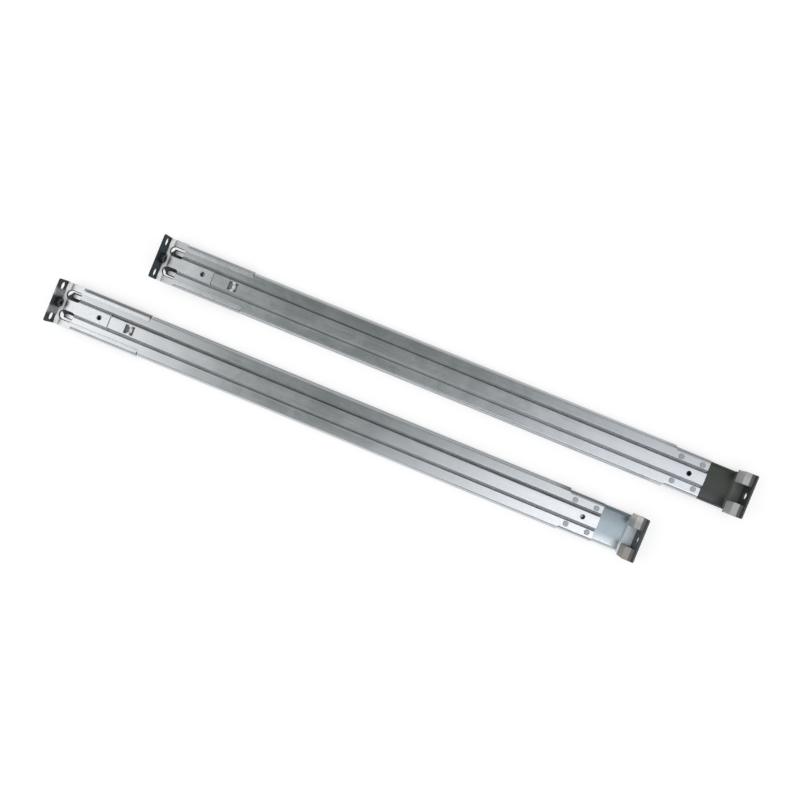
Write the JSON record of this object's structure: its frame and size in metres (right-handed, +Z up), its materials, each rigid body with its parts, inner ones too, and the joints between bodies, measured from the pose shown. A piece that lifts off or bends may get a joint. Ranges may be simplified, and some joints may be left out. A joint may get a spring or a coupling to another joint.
{
  "type": "sliding server rail pair",
  "caption": "Left and right ball-bearing telescoping rails with front and rear rack flanges, spring pegs and depth adjustment, for mounting a rack unit.",
  "frame": {"origin": "centre of the pair's bounding box, on the surface that the rails lie on", "axes": "+X along the rails from the front flanges to the rear flanges, +Y from the left rail to the right rail, +Z up, away from the server side and towards the rack side"},
  "size_m": [0.6904, 0.1216, 0.0266],
  "materials": {
    "galvanised_channel": "roll-formed zinc-plated steel, faint lengthwise drawing lines",
    "bright_steel": "bright zinc-plated steel",
    "cage_brass": "stamped brass strip",
    "ball_steel": "polished ball steel",
    "front_bracket_steel": "zinc root with a dark coated flange",
    "zinc_fastener": "zinc-plated fastener",
    "housing_zinc": "pale die-cast zinc, matt",
    "peg_steel": "plated steel",
    "spring_steel": "blued spring steel",
    "lever_steel": "blue-painted release lever",
    "bumper_rubber": "black rubber",
    "left_rear_bracket_zinc": "light bluish zinc plating",
    "right_rear_bracket_dark": "dark olive-grey chromate finish"
  },
  "bodies": {
    "channels": {"left_outer_member": "galvanised_channel", "left_front_bracket": "front_bracket_steel", "left_front_nut": "zinc_fastener", "left_guide_rivets": "zinc_fastener", "left_rear_bumper": "bumper_rubber", "right_outer_member": "galvanised_channel", "right_front_bracket": "front_bracket_steel", "right_front_nut": "zinc_fastener", "right_guide_rivets": "zinc_fastener", "right_rear_bumper": "bumper_rubber"},
    "left_middle_slide": {"left_intermediate_member": "bright_steel"},
    "left_inner_slide": {"left_inner_member": "bright_steel", "left_lever_pivot": "zinc_fastener", "left_lever_spring": "spring_steel"},
    "left_outer_ball_cage": {"left_outer_cage": "cage_brass", "left_outer_balls": "ball_steel"},
    "left_inner_ball_cage": {"left_inner_cage": "cage_brass", "left_inner_balls": "ball_steel"},
    "left_rear_slide": {"left_rear_bracket": "left_rear_bracket_zinc", "left_peg_housings": "housing_zinc", "left_upper_peg_spring": "spring_steel", "left_lower_peg_spring": "spring_steel"},
    "left_upper_peg_body": {"left_upper_peg": "peg_steel"},
    "left_lower_peg_body": {"left_lower_peg": "peg_steel"},
    "left_lever_body": {"left_release_lever": "lever_steel"},
    "right_middle_slide": {"right_intermediate_member": "bright_steel"},
    "right_inner_slide": {"right_inner_member": "bright_steel", "right_lever_pivot": "zinc_fastener", "right_lever_spring": "spring_steel"},
    "right_outer_ball_cage": {"right_outer_cage": "cage_brass", "right_outer_balls": "ball_steel"},
    "right_inner_ball_cage": {"right_inner_cage": "cage_brass", "right_inner_balls": "ball_steel"},
    "right_rear_slide": {"right_rear_bracket": "right_rear_bracket_dark", "right_peg_housings": "housing_zinc", "right_upper_peg_spring": "spring_steel", "right_lower_peg_spring": "spring_steel"},
    "right_upper_peg_body": {"right_upper_peg": "peg_steel"},
    "right_lower_peg_body": {"right_lower_peg": "peg_steel"},
    "right_lever_body": {"right_release_lever": "lever_steel"}
  },
  "joints": [
    {"name": "left_middle_extend", "type": "slide", "parent": "channels", "child": "left_middle_slide", "axis": [-1, 0, 0], "range_m": [0, 0.23]},
    {"name": "left_outer_cage_roll", "type": "slide", "parent": "channels", "child": "left_outer_ball_cage", "axis": [-1, 0, 0], "range_m": [0, 0.115]},
    {"name": "left_inner_extend", "type": "slide", "parent": "left_middle_slide", "child": "left_inner_slide", "axis": [-1, 0, 0], "range_m": [0, 0.24]},
    {"name": "left_inner_cage_roll", "type": "slide", "parent": "left_middle_slide", "child": "left_inner_ball_cage", "axis": [-1, 0, 0], "range_m": [0, 0.12]},
    {"name": "left_depth_adjust", "type": "slide", "parent": "channels", "child": "left_rear_slide", "axis": [1, 0, 0], "range_m": [0, 0.09]},
    {"name": "left_upper_peg_push", "type": "slide", "parent": "left_rear_slide", "child": "left_upper_peg_body", "axis": [-1, 0, 0], "range_m": [0, 0.0045], "stiffness_N_per_m": 300, "springref_m": -0.003, "deforming": ["left_upper_peg_spring"]},
    {"name": "left_lower_peg_push", "type": "slide", "parent": "left_rear_slide", "child": "left_lower_peg_body", "axis": [-1, 0, 0], "range_m": [0, 0.0045], "stiffness_N_per_m": 300, "springref_m": -0.003, "deforming": ["left_lower_peg_spring"]},
    {"name": "left_lever_release", "type": "hinge", "parent": "left_inner_slide", "child": "left_lever_body", "pos_m": [-0.1102, -0.03885, 0.0025], "axis": [0, 0, 1], "range_deg": [0, 8], "stiffness_Nm_per_rad": 0.02, "springref_deg": -8.59, "deforming": ["left_lever_spring"]},
    {"name": "right_middle_extend", "type": "slide", "parent": "channels", "child": "right_middle_slide", "axis": [-1, 0, 0], "range_m": [0, 0.23]},
    {"name": "right_outer_cage_roll", "type": "slide", "parent": "channels", "child": "right_outer_ball_cage", "axis": [-1, 0, 0], "range_m": [0, 0.115]},
    {"name": "right_inner_extend", "type": "slide", "parent": "right_middle_slide", "child": "right_inner_slide", "axis": [-1, 0, 0], "range_m": [0, 0.24]},
    {"name": "right_inner_cage_roll", "type": "slide", "parent": "right_middle_slide", "child": "right_inner_ball_cage", "axis": [-1, 0, 0], "range_m": [0, 0.12]},
    {"name": "right_depth_adjust", "type": "slide", "parent": "channels", "child": "right_rear_slide", "axis": [1, 0, 0], "range_m": [0, 0.09]},
    {"name": "right_upper_peg_push", "type": "slide", "parent": "right_rear_slide", "child": "right_upper_peg_body", "axis": [-1, 0, 0], "range_m": [0, 0.0045], "stiffness_N_per_m": 300, "springref_m": -0.003, "deforming": ["right_upper_peg_spring"]},
    {"name": "right_lower_peg_push", "type": "slide", "parent": "right_rear_slide", "child": "right_lower_peg_body", "axis": [-1, 0, 0], "range_m": [0, 0.0045], "stiffness_N_per_m": 300, "springref_m": -0.003, "deforming": ["right_lower_peg_spring"]},
    {"name": "right_lever_release", "type": "hinge", "parent": "right_inner_slide", "child": "right_lever_body", "pos_m": [-0.0318, 0.03885, 0.0025], "axis": [0, 0, -1], "range_deg": [0, 8], "stiffness_Nm_per_rad": 0.02, "springref_deg": -8.59, "deforming": ["right_lever_spring"]}
  ],
  "couplings": [
    {"joint": "left_outer_cage_roll", "follows": "left_middle_extend", "ratio": 0.5},
    {"joint": "left_inner_cage_roll", "follows": "left_inner_extend", "ratio": 0.5},
    {"joint": "right_outer_cage_roll", "follows": "right_middle_extend", "ratio": 0.5},
    {"joint": "right_inner_cage_roll", "follows": "right_inner_extend", "ratio": 0.5}
  ]
}
